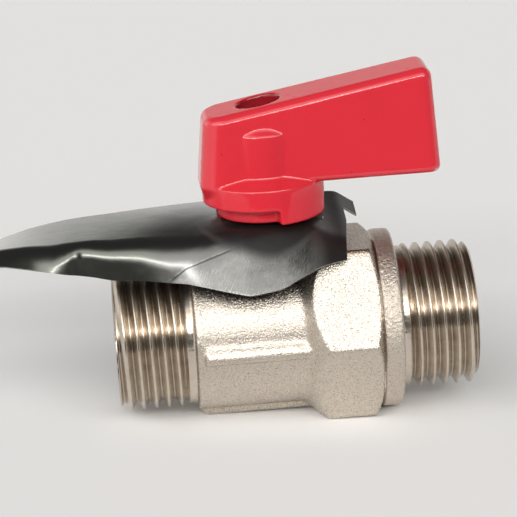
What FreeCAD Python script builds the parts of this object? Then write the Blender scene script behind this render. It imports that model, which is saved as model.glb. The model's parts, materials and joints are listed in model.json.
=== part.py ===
"""Isolating ball valve, G 1/2 male by male, with a short red lever and a folded metal tag.

Millimetres. X runs along the pipe from the inlet end face to the outlet, Z is the stem axis
and points up to the lever, and Y = 0 is the plane of both axes.
"""
import FreeCAD
import Part
import math
import os

V = FreeCAD.Vector

# Pipe threads, with each turn drawn as a ring groove
thread_d = 20.955
thread_pitch = 1.8143
thread_depth = 1.1617
thread_flank_angle = 27.5
thread_run = 9.5
thread_chamfer = 0.9
thread_groove_rim = 0.1
inlet_first_groove = 0.81
outlet_first_groove = 1.6
relief_d = 20.2
relief_run = 1.6
thread_bore_d = 13.5
thread_bore_run = 11.0

# Body forging
barrel_d = 22.0
stem_from_shoulder = 11.5
hex_af = 25.0
hex_from_stem = 7.1
hex_run = 7.9
hex_lead_angle = 48.0
hex_back_chamfer = 1.0
hex_face_inset = 0.1
hex_edge_round = 0.5
hex_root_share = 0.8
rib_height = 1.7
rib_top = 0.1
rib_proud = 0.9
rib_inset = 1.1
rib_round = 0.7
pad_width = 6.0
pad_proud = 0.8
pad_chamfer = 1.3
casting_round = 0.35
body_wall_step = 5.5

# Neck, where the stem leaves the body
neck_rise = 5.3
neck_top_d = 11.4
neck_foot_d = 16.0
neck_foot_sink = 0.2
flare_bow_side = 0.3
flare_bow_rise = 0.35
collar_d = 9.2
collar_rise = 2.6
lug_reach = 8.3
lug_half_angle = 11.0
lug_proud = 0.1
lug_gap = 0.3
stop_gap_angle = 0.3

# Ball, seats and stem
ball_d = 16.0
bore_d = 10.0
ball_gap = 0.3
seat_od = 15.0
seat_run = 3.0
seat_gap = 0.04
fit_gap = 0.03
slot_width = 3.0
slot_floor = 0.8
tang_gap = 0.05
tang_length = 7.6
flange_d = 9.2
flange_run = 1.4
flange_gap = 0.35
flange_side_gap = 0.15
washer_run = 0.8
stem_d = 7.0
drive_af = 5.0
drive_length = 7.0
ring_section = 1.1
lower_ring_rise = 1.1
ring_spacing = 2.6
ring_groove_gap = 0.1

# End adapter
flange_ring_d = 25.74
flange_ring_run = 2.9
flange_ring_round = 0.5
joint_thread_d = 20.0
joint_seal_section = 1.0
joint_seal_inset = 1.6

# Lever
skirt_gap = 1.0
skirt_d = 17.4
skirt_height = 5.2
skirt_cone_rise = 1.4
rear_tab_angle = 39.0
hub_d = 13.2
hub_recess_d = 9.8
notch_height = 2.1
lever_floor = 5.05
lever_tail = 9.1
lever_reach = 25.1
lever_half_width = 5.6
lever_top_at_stem = 16.25
lever_top_slope = 9.55
tail_draft = 5.9
tip_draft = 3.0
side_draft = 2.7
tail_round = 3.2
tip_round = 1.6
lever_top_round = 1.4
lever_bottom_round = 0.9
gusset_drop = 0.2
gusset_inset = 0.8
gusset_narrowing = 1.7
gusset_top_inset = 0.2
gusset_top_narrowing = 0.1
gusset_round = 1.0
lever_wall = 1.7
lever_roof = 2.0
channel_start = 9.8
boss_d = 12.2
boss_height = 7.1
boss_taper_run = 1.3
boss_taper = 1.1
screw_well_d = 6.2
web_run = 1.4
drive_gap = 0.05
drive_top_gap = 0.4
collar_gap = 0.3

# Screw and lock washer
screw_d = 3.0
screw_head_d = 5.5
screw_head_run = 3.0
screw_head_round = 0.275
screw_length = 7.0
socket_af = 2.5
socket_depth = 1.6
screw_hole_gap = 0.2
lock_washer_d = 5.6
lock_washer_run = 0.7
lock_washer_slit = 0.5
lock_washer_slit_angle = 25.0
lock_washer_gap = 0.15

# Tag, a thin sheet folded over the body and keyed round the collar and the stop lug
tag_sheet = 0.4
tag_hole_gap = 0.25
tag_key_gap_angle = 4.0
tag_end_radius = 8.0
tag_end_from_stem = 34.0
tag_end_side = 0.8
tag_edge = 11.7
tag_edge_slant = 7.0
tag_curl_edge = 13.6
tag_curl_side = 4.0
tag_unit = barrel_d / 22.0
# Each row is one cross-section of the sheet, set out from the stem axis: distance along the pipe,
# where the fold starts, height over the seat, fold radius, fold angle, straight flap after the
# fold, distance to the rear edge and how far the rear half dips. Angles are in degrees and the
# lengths are in tag units, which grow with the barrel that the sheet is folded over.
tag_sections = [
    (13.8, -5.0, -4.4, 5.0, 36.0, 1.0, 8.3, -12.0),
    (12.5, -5.0, -2.9, 5.0, 36.0, 1.2, 8.3, -12.0),
    (11.0, -5.0, -2.4, 5.0, 36.0, 1.4, 8.3, -12.0),
    (9.0, -5.1, -1.8, 4.6, 41.0, 2.4, 8.3, -10.0),
    (7.5, -5.2, -0.9, 4.6, 50.0, 3.2, 8.3, -5.5),
    (6.0, -5.1, 0.0, 4.6, 60.0, 4.0, 8.3, -0.7),
    (3.5, -5.3, 0.1, 4.4, 67.0, 4.8, 8.3, -0.6),
    (-1.0, -5.9, 0.1, 4.0, 75.0, 5.5, 8.3, -0.7),
    (-6.5, -5.5, 0.1, 4.0, 75.0, 5.1, 8.3, -1.0),
    (-12.0, -4.9, 0.1, 4.0, 75.0, 4.2, 8.3, -1.5),
    (-22.7, -3.4, 0.0, 4.0, 72.0, 2.4, 8.3, -1.0),
    (-30.5, -2.6, -0.5, 4.5, 58.0, 1.0, 8.3, 0.0),
    (-38.0, -1.0, -1.5, 8.0, 30.0, 1.5, 8.3, 7.0),
    (-43.0, 0.0, -2.9, 9.0, 30.0, 2.0, 8.3, 9.0),
]

# Places worked out from the sizes above
thread_end = thread_run + relief_run
stem_x = thread_end + stem_from_shoulder
barrel_r = barrel_d / 2
hex_r = hex_af / math.sqrt(3)
hex_root_round = hex_root_share * (hex_af / 2 - barrel_r)
hex_start = stem_x + hex_from_stem
hex_end = hex_start + hex_run
outlet_start = hex_end + flange_ring_run
outlet_end = outlet_start + thread_end
ball_r = ball_d / 2
bore_r = bore_d / 2
cavity_r = ball_r + ball_gap
seat_pocket_r = seat_od / 2 + fit_gap
joint_r = joint_thread_d / 2
neck_top = barrel_r + neck_rise
collar_top = neck_top + collar_rise
lug_top = collar_top + lug_proud
flange_floor = ball_r + flange_gap
flange_top = flange_floor + flange_run
pocket_top = flange_top + washer_run + tang_gap
stem_r = stem_d / 2
groove_r = stem_r - ring_section + fit_gap
lower_ring_z = pocket_top + lower_ring_rise
upper_ring_z = lower_ring_z + ring_spacing
drive_top = collar_top + drive_length
skirt_bottom = neck_top + skirt_gap
notch_top = skirt_bottom + notch_height
skirt_top = skirt_bottom + skirt_height
lever_bottom = skirt_bottom + lever_floor
lever_top = skirt_bottom + lever_top_at_stem
boss_top = skirt_top + boss_height
web_bottom = drive_top + drive_top_gap
web_top = web_bottom + web_run
recess_top = collar_top + collar_gap
tag_seat = neck_top + tag_sheet


def cylinder_x(radius, start, end):
    return Part.makeCylinder(radius, end - start, V(start, 0, 0), V(1, 0, 0))


def cylinder_z(radius, bottom, top):
    return Part.makeCylinder(radius, top - bottom, V(stem_x, 0, bottom))


def box(x0, x1, y0, y1, z0, z1):
    return Part.makeBox(x1 - x0, y1 - y0, z1 - z0, V(x0, y0, z0))


def turned_x(profile):
    """Solid turned about the pipe axis from (x, radius) points."""
    points = [V(x, 0, r) for x, r in profile]
    face = Part.Face(Part.makePolygon(points + points[:1]))
    return face.revolve(V(0, 0, 0), V(1, 0, 0), 360)


def turned_z(profile, start=0.0, sweep=360.0):
    """Solid turned about the stem axis from (radius, z) points, from one angle through a sweep."""
    points = [V(stem_x + r, 0, z) for r, z in profile]
    face = Part.Face(Part.makePolygon(points + points[:1]))
    face.rotate(V(stem_x, 0, 0), V(0, 0, 1), start)
    return face.revolve(V(stem_x, 0, 0), V(0, 0, 1), sweep)


def line(first, last):
    return Part.LineSegment(first, last).toShape()


def ring_z(inner, outer, bottom, top):
    return cylinder_z(outer, bottom, top).cut(cylinder_z(inner, bottom, top))


def edges_where(shape, test):
    return [edge for edge in shape.Edges if test(edge.BoundBox)]


def along_x(bounds, length):
    thin = 1e-4
    return bounds.XLength > length and bounds.YLength < thin and bounds.ZLength < thin


def fuse_all(shapes):
    return shapes[0].multiFuse(shapes[1:]).removeSplitter()


def thread_groove(x):
    """Ring groove between two crests, as a solid centred at one place on the pipe axis."""
    slope = math.tan(math.radians(thread_flank_angle))
    floor_r = thread_d / 2 - thread_depth
    rim_r = thread_d / 2 + thread_groove_rim
    floor_half = (thread_pitch / 2 - thread_depth * slope) / 2
    rim_half = floor_half + (rim_r - floor_r) * slope
    return turned_x([
        (x - floor_half, floor_r),
        (x + floor_half, floor_r),
        (x + rim_half, rim_r),
        (x - rim_half, rim_r),
    ])


def male_end(face_x, direction, first_groove):
    """Threaded spigot from its end face towards the body, as a solid on the pipe axis."""
    r = thread_d / 2
    steps = [
        (0.0, 0.0),
        (0.0, r - thread_chamfer),
        (thread_chamfer, r),
        (thread_run, r),
        (thread_run + (r - relief_d / 2), relief_d / 2),
        (thread_end, relief_d / 2),
        (thread_end, 0.0),
    ]
    spigot = turned_x([(face_x + direction * x, radius) for x, radius in steps])
    turns = int((thread_run - first_groove) / thread_pitch) + 1
    places = [first_groove + turn * thread_pitch for turn in range(turns)]
    return spigot.cut([thread_groove(face_x + direction * place) for place in places])


def hex_block():
    """Spanner hexagon with a cone towards the barrel and a chamfer at the open end."""
    cone_run = (hex_r - barrel_r) / math.tan(math.radians(hex_lead_angle))
    corners = [
        V(hex_start - cone_run, hex_r * math.cos(math.radians(a)), hex_r * math.sin(math.radians(a)))
        for a in range(0, 360, 60)
    ]
    length = hex_end - hex_start + cone_run
    prism = Part.Face(Part.makePolygon(corners + corners[:1])).extrude(V(length, 0, 0))
    prism = prism.makeFillet(hex_edge_round, edges_where(prism, lambda b: along_x(b, length / 2)))
    flat_r = hex_af / 2
    turned = turned_x([
        (hex_start - cone_run, 0.0),
        (hex_start - cone_run, barrel_r),
        (hex_start, hex_r),
        (hex_end - hex_back_chamfer, hex_r),
        (hex_end, flat_r - hex_face_inset),
        (hex_end, 0.0),
    ])
    return prism.common(turned)


def side_rib(side):
    """Forging line rib along one side of the barrel."""
    reach = barrel_r + rib_proud
    root = barrel_r - rib_proud
    y0, y1 = sorted((side * root, side * reach))
    rib = box(thread_end + rib_inset, hex_start, y0, y1, rib_top - rib_height, rib_top)
    outer = [e for e in rib.Edges if abs(abs(e.CenterOfMass.y) - reach) < 1e-6]
    return rib.makeFillet(rib_round, outer)


def foot_pad():
    """Flat rib under the barrel that the valve stands on at the inlet side."""
    bottom = -(barrel_r + pad_proud)
    half = pad_width / 2
    pad = box(thread_end, hex_start, -half, half, bottom, bottom + 2 * pad_proud)
    lead = [e for e in pad.Edges
            if abs(e.CenterOfMass.x - thread_end) < 1e-6 and abs(e.CenterOfMass.z - bottom) < 1e-6]
    pad = pad.makeChamfer(pad_chamfer, lead)
    long_edges = [e for e in pad.Edges
                  if along_x(e.BoundBox, pad_width) and abs(e.CenterOfMass.z - bottom) < 1e-6]
    return pad.makeFillet(casting_round, long_edges)


def neck():
    """Flared neck with its collar, and the stop lug on the outlet side."""
    foot_r = neck_foot_d / 2
    top_r = neck_top_d / 2
    foot_z = math.sqrt(barrel_r ** 2 - foot_r ** 2) - neck_foot_sink
    flare = Part.Arc(
        V(stem_x + foot_r, 0, foot_z),
        V(stem_x + top_r + (foot_r - top_r) * flare_bow_side, 0,
          foot_z + (neck_top - foot_z) * flare_bow_rise),
        V(stem_x + top_r, 0, neck_top),
    ).toShape()
    rest = Part.makePolygon([
        V(stem_x + top_r, 0, neck_top),
        V(stem_x, 0, neck_top),
        V(stem_x, 0, 0),
        V(stem_x + foot_r, 0, 0),
        V(stem_x + foot_r, 0, foot_z),
    ])
    face = Part.Face(Part.Wire([flare] + rest.Edges))
    solid = face.revolve(V(stem_x, 0, 0), V(0, 0, 1), 360)
    collar = cylinder_z(collar_d / 2, neck_top - 1, collar_top)
    lug_root = hub_d / 2 + lug_gap
    lug = turned_z(
        [
            (collar_d / 2, barrel_r + 1),
            (lug_reach, barrel_r + 1),
            (lug_reach, lug_top),
            (lug_root, lug_top),
            (lug_root, neck_top),
            (collar_d / 2, neck_top),
        ],
        -lug_half_angle,
        2 * lug_half_angle,
    )
    return [solid, collar, lug]


def valve_body():
    barrel = cylinder_x(barrel_r, thread_end, hex_end - hex_back_chamfer)
    turned = barrel.fuse(hex_block()).removeSplitter()
    root = [e for e in turned.Edges
            if isinstance(e.Curve, Part.Circle) and abs(e.Curve.Radius - barrel_r) < 1e-4
            and thread_end + 1 < e.CenterOfMass.x < hex_start]
    turned = turned.makeFillet(hex_root_round, root)
    inlet = male_end(0.0, 1, inlet_first_groove)
    outer = fuse_all([inlet, turned, side_rib(1), side_rib(-1), foot_pad()] + neck())
    seat_back = stem_x - ball_r
    water = [
        cylinder_x(thread_bore_d / 2, 0, thread_bore_run),
        cylinder_x(bore_r, 0, stem_x),
        cylinder_x(seat_pocket_r, seat_back, stem_x),
        cylinder_x(cavity_r, seat_back + seat_run - ball_gap, stem_x + body_wall_step),
        cylinder_x(joint_r, stem_x + body_wall_step, hex_end),
        cylinder_z(flange_d / 2 + flange_side_gap, 0, pocket_top),
        cylinder_z(stem_r + fit_gap, 0, collar_top),
    ]
    for tool in water:
        outer = outer.cut(tool)
    return outer


def end_adapter():
    nose = stem_x + body_wall_step + ball_gap
    ring = cylinder_x(flange_ring_d / 2, hex_end, outlet_start)
    rims = [e for e in ring.Edges if isinstance(e.Curve, Part.Circle)]
    ring = ring.makeFillet(flange_ring_round, rims)
    outlet = male_end(outlet_end, -1, outlet_first_groove)
    outer = fuse_all([cylinder_x(joint_r - fit_gap, nose, outlet_start), ring, outlet])
    seal_x = hex_end - joint_seal_inset
    groove_floor = joint_r - joint_seal_section - fit_gap
    half = joint_seal_section / 2 + ring_groove_gap
    groove = cylinder_x(joint_r, seal_x - half, seal_x + half).cut(
        cylinder_x(groove_floor, seal_x - half, seal_x + half))
    seat_back = stem_x + ball_r
    tools = [
        groove,
        cylinder_x(bore_r, nose, outlet_end),
        cylinder_x(thread_bore_d / 2, outlet_end - thread_bore_run, outlet_end),
        cylinder_x(seat_pocket_r, nose, seat_back),
    ]
    for tool in tools:
        outer = outer.cut(tool)
    return outer


def body_o_ring():
    seal_x = hex_end - joint_seal_inset
    section_r = joint_seal_section / 2 - fit_gap / 2
    middle_r = joint_r - joint_seal_section / 2 - fit_gap / 2
    return Part.makeTorus(middle_r, section_r, V(seal_x, 0, 0), V(1, 0, 0))


def seat(side):
    """Soft seat ring with a dished face that the ball turns against."""
    back = stem_x + side * ball_r
    front = back - side * seat_run
    start, end = sorted((back, front))
    ring = cylinder_x(seat_od / 2, start, end).cut(cylinder_x(bore_r, start, end))
    return ring.cut(Part.makeSphere(ball_r + seat_gap, V(stem_x, 0, 0)))


def ball():
    sphere = Part.makeSphere(ball_r, V(stem_x, 0, 0))
    sphere = sphere.cut(cylinder_x(bore_r, stem_x - ball_r - 1, stem_x + ball_r + 1))
    half = slot_width / 2
    return sphere.cut(box(stem_x - half, stem_x + half, -ball_r, ball_r, bore_r + slot_floor, ball_r + 1))


def stem():
    tang_half = slot_width / 2 - tang_gap
    tang_half_length = tang_length / 2
    tang = box(stem_x - tang_half, stem_x + tang_half, -tang_half_length, tang_half_length,
               bore_r + slot_floor + tang_gap, flange_floor)
    flange = cylinder_z(flange_d / 2, flange_floor, flange_top)
    shaft = cylinder_z(stem_r, flange_top, drive_top)
    half = drive_af / 2
    drive = box(stem_x - half, stem_x + half, -half, half, collar_top, drive_top)
    above = cylinder_z(stem_d, collar_top, drive_top).cut(drive)
    solid = fuse_all([tang, flange, shaft]).cut(above)
    groove_half = ring_section / 2 + ring_groove_gap
    for z in (lower_ring_z, upper_ring_z):
        solid = solid.cut(ring_z(groove_r, stem_d, z - groove_half, z + groove_half))
    return solid.cut(cylinder_z(screw_d / 2 + fit_gap, web_top - screw_length, drive_top))


def stem_o_ring(z):
    space = stem_r + fit_gap - groove_r
    section_r = space / 2 - fit_gap
    return Part.makeTorus(groove_r + space / 2, section_r, V(stem_x, 0, z))


def thrust_washer():
    return ring_z(stem_r + fit_gap, flange_d / 2, flange_top, flange_top + washer_run)


def rounded_outline(z, left, right, half, left_round, right_round):
    """Level rectangle with one radius at its two left corners and one at its two right corners."""
    c = math.cos(math.radians(45))
    edges = []
    corners = [(right, half, 1, 1, right_round), (left, half, -1, 1, left_round),
               (left, -half, -1, -1, left_round), (right, -half, 1, -1, right_round)]
    joints = []
    for x, y, sx, sy, r in corners:
        centre = V(x - sx * r, y - sy * r, z)
        on_end = V(x, y - sy * r, z)
        on_side = V(x - sx * r, y, z)
        middle = V(centre.x + sx * r * c, centre.y + sy * r * c, z)
        first, last = (on_end, on_side) if sx == sy else (on_side, on_end)
        joints.append((first, middle, last))
    for index, (first, middle, last) in enumerate(joints):
        edges.append(Part.Arc(first, middle, last).toShape())
        following = joints[(index + 1) % len(joints)][0]
        edges.append(line(last, following))
    return Part.Wire(edges)


def lever_plan(z):
    """Outline of the lever at one height, drafted on all four sides."""
    rise = z - lever_bottom
    left = stem_x - lever_tail + rise * math.tan(math.radians(tail_draft))
    right = stem_x + lever_reach - rise * math.tan(math.radians(tip_draft))
    half = lever_half_width - rise * math.tan(math.radians(side_draft))
    return rounded_outline(z, left, right, half, tail_round, tip_round)


def tail_gusset():
    """Sloping underside that carries the lever's tail down into the skirt."""
    outlines = []
    levels = [
        (lever_bottom + 2 * lever_bottom_round, gusset_top_inset, gusset_top_narrowing),
        (skirt_top - gusset_drop, 0.0, 0.0),
        (notch_top, gusset_inset, gusset_narrowing),
    ]
    for z, inset, narrowing in levels:
        left = stem_x - lever_tail + inset
        half = lever_half_width - narrowing
        outlines.append(rounded_outline(z, left, stem_x, half, tail_round, gusset_round))
    return Part.makeLoft(outlines, True, True)


def above_roof(drop):
    """Everything above the sloping top of the lever, lowered by a drop."""
    size = 4 * lever_reach
    block = Part.makeBox(size, size, size, V(stem_x - size / 2, -size / 2, lever_top - drop))
    block.rotate(V(stem_x, 0, lever_top - drop), V(0, -1, 0), lever_top_slope)
    return block


def lever_blank():
    high = lever_top + lever_reach * math.tan(math.radians(lever_top_slope)) + 2
    blank = Part.makeLoft([lever_plan(lever_bottom), lever_plan(high)], True, True)
    blank = blank.cut(above_roof(0))
    roof = max(blank.Faces, key=lambda f: f.CenterOfMass.z)
    blank = blank.makeFillet(lever_top_round, roof.Edges)
    floor = min(blank.Faces, key=lambda f: f.CenterOfMass.z)
    return blank.makeFillet(lever_bottom_round, floor.Edges)


def lever_channel():
    """Hollow under the lever's arm, open downwards."""
    high = lever_top + lever_reach
    outlines = []
    for z in (lever_bottom - 1, high):
        rise = z - lever_bottom
        right = stem_x + lever_reach - lever_wall - rise * math.tan(math.radians(tip_draft))
        half = lever_half_width - lever_wall - rise * math.tan(math.radians(side_draft))
        left = stem_x + channel_start
        points = [V(left, -half, z), V(right, -half, z), V(right, half, z), V(left, half, z)]
        outlines.append(Part.makePolygon(points + points[:1]))
    return Part.makeLoft(outlines, True, True).cut(above_roof(lever_roof))


def skirt():
    """Round drum under the lever with two tabs that the lug stops a quarter turn apart."""
    r = skirt_d / 2
    drum = turned_z([
        (0, skirt_bottom),
        (r, skirt_bottom),
        (r, skirt_top),
        (hub_recess_d / 2, skirt_top + skirt_cone_rise),
        (0, skirt_top + skirt_cone_rise),
    ])
    play = lug_half_angle + stop_gap_angle
    rear_end = 90 + play + rear_tab_angle
    front_start = 270 + play
    profile = [(hub_d / 2, skirt_bottom - 1), (skirt_d, skirt_bottom - 1),
               (skirt_d, notch_top), (hub_d / 2, notch_top)]
    for start, end in ((-play, 90 + play), (rear_end, front_start)):
        drum = drum.cut(turned_z(profile, start, end - start))
    return drum


def handle():
    r = boss_d / 2
    boss = turned_z([
        (0, skirt_top),
        (r, skirt_top),
        (r, boss_top),
        (r - boss_taper, boss_top + boss_taper_run),
        (0, boss_top + boss_taper_run),
    ])
    solid = fuse_all([lever_blank(), tail_gusset(), skirt(), boss])
    half = drive_af / 2 + drive_gap
    tools = [
        lever_channel(),
        cylinder_z(hub_recess_d / 2, skirt_bottom - 1, recess_top),
        box(stem_x - half, stem_x + half, -half, half, recess_top, web_bottom),
        cylinder_z(screw_d / 2 + screw_hole_gap, web_bottom, web_top),
        cylinder_z(screw_well_d / 2, web_top, lever_top + lever_reach),
    ]
    for tool in tools:
        solid = solid.cut(tool)
    return solid


def lock_washer():
    ring = ring_z(screw_d / 2 + lock_washer_gap, lock_washer_d / 2, web_top, web_top + lock_washer_run)
    half = lock_washer_slit / 2
    slit = box(stem_x, stem_x + lock_washer_d, -half, half, web_top - 1, web_top + lock_washer_run + 1)
    slit.rotate(V(stem_x, 0, web_top), V(1, 0, 0), lock_washer_slit_angle)
    return ring.cut(slit)


def handle_screw():
    head_bottom = web_top + lock_washer_run
    head_top = head_bottom + screw_head_run
    head = cylinder_z(screw_head_d / 2, head_bottom, head_top)
    rim = [e for e in head.Edges if isinstance(e.Curve, Part.Circle) and e.CenterOfMass.z > head_top - 1e-6]
    head = head.makeFillet(screw_head_round, rim)
    shank = cylinder_z(screw_d / 2, head_bottom - screw_length, head_bottom)
    socket_r = socket_af / math.sqrt(3)
    points = [V(stem_x + socket_r * math.cos(math.radians(a)), socket_r * math.sin(math.radians(a)), head_top)
              for a in range(0, 360, 60)]
    socket = Part.Face(Part.makePolygon(points + points[:1])).extrude(V(0, 0, -socket_depth))
    return head.fuse(shank).removeSplitter().cut(socket)


def tag_outline(x, fold_y, lift, radius, angle, flap, rear, dip):
    """Closed cross-section of the folded sheet at one distance along the pipe, from one table row."""
    x, fold_y, lift, radius, flap, rear = (tag_unit * v for v in (x, fold_y, lift, radius, flap, rear))

    def heading(degrees):
        a = math.radians(degrees)
        return V(0, -math.cos(a), -math.sin(a))

    def normal(degrees):
        a = math.radians(degrees)
        return V(0, -math.sin(a), math.cos(a))

    begin, finish = -dip, angle - dip
    start = V(stem_x + x, fold_y, tag_seat + lift)
    centre = start - normal(begin) * radius
    rear_run = (rear - fold_y) / math.cos(math.radians(dip))
    sides = []
    for depth in (0.0, tag_sheet):
        r = radius - depth
        p0 = centre + normal(begin) * r
        pm = centre + normal((begin + finish) / 2) * r
        p1 = centre + normal(finish) * r
        sides.append((p0 - heading(begin) * rear_run, p0, pm, p1, p1 + heading(finish) * flap))
    top, under = sides
    return Part.Wire([
        line(top[0], top[1]),
        Part.Arc(top[1], top[2], top[3]).toShape(),
        line(top[3], top[4]),
        line(top[4], under[4]),
        line(under[4], under[3]),
        Part.Arc(under[3], under[2], under[1]).toShape(),
        line(under[1], under[0]),
        line(under[0], top[0]),
    ])


def tag_plate():
    sheet = Part.makeLoft([tag_outline(*row) for row in tag_sections], True, False)
    low, high = 0.0, 2 * tag_seat
    far = 4 * tag_end_from_stem
    end_x = stem_x - tag_end_from_stem
    blank = box(end_x, end_x + far, -far, far, low, high).fuse(
        Part.makeCylinder(tag_end_radius, high, V(end_x, tag_end_side, low)))
    sheet = sheet.common(blank)
    front_cut = box(stem_x + tag_edge, stem_x + far, -far, 0, low, high)
    front_cut.rotate(V(stem_x + tag_edge, 0, 0), V(0, 0, 1), -tag_edge_slant)
    key = lug_reach + tag_hole_gap
    key_half = lug_half_angle + tag_key_gap_angle
    tools = [
        cylinder_z(collar_d / 2 + tag_hole_gap, low, high),
        turned_z([(0, low), (key, low), (key, high), (0, high)], -key_half, 2 * key_half),
        front_cut,
        box(stem_x + tag_edge, stem_x + far, -far, tag_curl_side, low, high),
        box(stem_x + tag_curl_edge, stem_x + far, -far, far, low, high),
    ]
    for tool in tools:
        sheet = sheet.cut(tool)
    return sheet


def main():
    os.makedirs("parts", exist_ok=True)
    nodes = {
        "valve_body": valve_body(),
        "end_adapter": end_adapter(),
        "body_o_ring": body_o_ring(),
        "inlet_seat": seat(-1),
        "outlet_seat": seat(1),
        "ball": ball(),
        "stem": stem(),
        "lower_o_ring": stem_o_ring(lower_ring_z),
        "upper_o_ring": stem_o_ring(upper_ring_z),
        "thrust_washer": thrust_washer(),
        "handle": handle(),
        "lock_washer": lock_washer(),
        "handle_screw": handle_screw(),
        "tag_plate": tag_plate(),
    }
    for name, shape in nodes.items():
        bounds = shape.BoundBox
        print(f"{name}: {len(shape.Solids)} solid, valid {shape.isValid()}, volume {shape.Volume:.1f}, "
              f"x {bounds.XMin:.2f}..{bounds.XMax:.2f} y {bounds.YMin:.2f}..{bounds.YMax:.2f} "
              f"z {bounds.ZMin:.2f}..{bounds.ZMax:.2f}")
        shape.exportStep(f"parts/{name}.step")


main()
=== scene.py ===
"""Studio scene of an isolating valve: threaded nickel body, red lever and folded black tag.

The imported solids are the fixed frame. X runs along the pipe and Z up the stem. Lengths are in metres,
or in millimetres where a name or a comment says so.
"""
import json
import math

import bmesh
import bpy
import numpy as np
from bpy.props import FloatProperty, FloatVectorProperty, IntProperty, PointerProperty
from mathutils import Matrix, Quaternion, Vector


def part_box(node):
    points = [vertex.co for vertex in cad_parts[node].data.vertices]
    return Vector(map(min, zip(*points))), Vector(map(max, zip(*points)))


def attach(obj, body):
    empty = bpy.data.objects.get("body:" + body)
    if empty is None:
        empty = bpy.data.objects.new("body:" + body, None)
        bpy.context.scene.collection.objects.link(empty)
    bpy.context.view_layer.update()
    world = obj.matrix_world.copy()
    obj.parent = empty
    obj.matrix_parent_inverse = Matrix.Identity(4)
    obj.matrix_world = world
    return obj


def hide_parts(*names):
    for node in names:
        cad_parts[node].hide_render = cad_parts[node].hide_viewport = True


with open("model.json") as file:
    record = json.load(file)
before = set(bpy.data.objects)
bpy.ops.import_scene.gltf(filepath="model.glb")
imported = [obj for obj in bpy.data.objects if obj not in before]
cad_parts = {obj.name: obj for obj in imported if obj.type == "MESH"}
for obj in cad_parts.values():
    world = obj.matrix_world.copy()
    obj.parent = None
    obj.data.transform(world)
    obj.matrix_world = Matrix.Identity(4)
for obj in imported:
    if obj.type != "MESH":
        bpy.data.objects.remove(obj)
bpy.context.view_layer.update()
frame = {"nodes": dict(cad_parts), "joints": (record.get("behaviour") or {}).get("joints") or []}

bl_info = {
    "name": "Isolating Valve",
    "version": (1, 0, 0),
    "blender": (4, 5, 0),
    "location": "View3D > Sidebar > Valve",
    "description": "Dresses the packed valve with cut threads, a folded tag and procedural finishes",
    "category": "Object",
}

MM = 0.001
SPIGOT_RUN = 11.1 * MM

body_low, body_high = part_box("valve_body")
_, adapter_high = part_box("end_adapter")
_, handle_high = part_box("handle")
stem_x = frame["joints"][0]["pos_m"][0]


class ThreadSettings(bpy.types.PropertyGroup):
    """Sizes of the two male pipe threads."""

    pitch: FloatProperty(name="Pitch", description="Advance of the thread in one turn",
                         default=1.8143 * MM, unit="LENGTH", precision=5)
    depth: FloatProperty(name="Depth", description="Height of the thread from root to crest",
                         default=1.1617 * MM, unit="LENGTH", precision=5)
    rounding: FloatProperty(name="Rounding", description="Radius at the crests and the roots",
                            default=0.2 * MM, unit="LENGTH", precision=5)
    crest_radius: FloatProperty(name="Crest radius",
                                description="Radius of the crests, just under the turned wall",
                                default=10.45 * MM, unit="LENGTH", precision=5)
    land_radius: FloatProperty(name="Land radius", description="Radius of the plain land behind the thread",
                               default=10.1 * MM, unit="LENGTH", precision=5)
    spigot_run: FloatProperty(name="Spigot run", description="Length of each turned spigot with its relief",
                              default=SPIGOT_RUN, unit="LENGTH", precision=5)
    columns: IntProperty(name="Columns", description="Facets in one turn of the thread",
                         default=144, min=24)
    inlet_phase: FloatProperty(name="Inlet phase",
                               description="Place of one crest at the front of the inlet",
                               default=1.72 * MM, unit="LENGTH", precision=5)
    outlet_phase: FloatProperty(name="Outlet phase",
                                description="Place of one crest at the front of the outlet",
                                default=43.58 * MM, unit="LENGTH", precision=5)


class ForgingSettings(bpy.types.PropertyGroup):
    """How finely the cast and forged pieces are rounded."""

    body_cell: FloatProperty(name="Body cell", description="Cell of the body's rounded skin",
                             default=0.24 * MM, unit="LENGTH", precision=5)
    handle_cell: FloatProperty(name="Handle cell", description="Cell of the lever's rounded skin",
                               default=0.23 * MM, unit="LENGTH", precision=5)
    body_passes: IntProperty(name="Body passes", description="Rounding passes on the body",
                             default=4, min=0)
    handle_passes: IntProperty(name="Handle passes", description="Rounding passes on the lever",
                               default=5, min=0)


class TagSettings(bpy.types.PropertyGroup):
    """Sizes of the folded tag."""

    sheet: FloatProperty(name="Sheet", description="Thickness of the tag's sheet",
                         default=0.3 * MM, unit="LENGTH", precision=5)
    crease_round: FloatProperty(name="Crease", description="Width of the turn at the diagonal crease",
                                default=0.5 * MM, unit="LENGTH", precision=5)


class FinishSettings(bpy.types.PropertyGroup):
    """Colours of the finishes."""

    nickel: FloatVectorProperty(name="Nickel", description="Satin nickel of the forging",
                                subtype="COLOR", default=(0.64, 0.575, 0.50), min=0, max=1)
    turned: FloatVectorProperty(name="Turned nickel", description="Bright nickel of the threads",
                                subtype="COLOR", default=(0.66, 0.595, 0.515), min=0, max=1)
    tarnish: FloatVectorProperty(name="Tarnish", description="Brown film in roots and joints",
                                 subtype="COLOR", default=(0.20, 0.135, 0.085), min=0, max=1)
    enamel: FloatVectorProperty(name="Enamel", description="Red enamel of the lever",
                                subtype="COLOR", default=(0.73, 0.03, 0.048), min=0, max=1)
    lacquer: FloatVectorProperty(name="Lacquer", description="Black lacquer of the tag",
                                 subtype="COLOR", default=(0.115, 0.115, 0.11), min=0, max=1)
    bare: FloatVectorProperty(name="Bare sheet", description="Bare metal at the tag's edges",
                              subtype="COLOR", default=(0.62, 0.61, 0.58), min=0, max=1)


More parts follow.
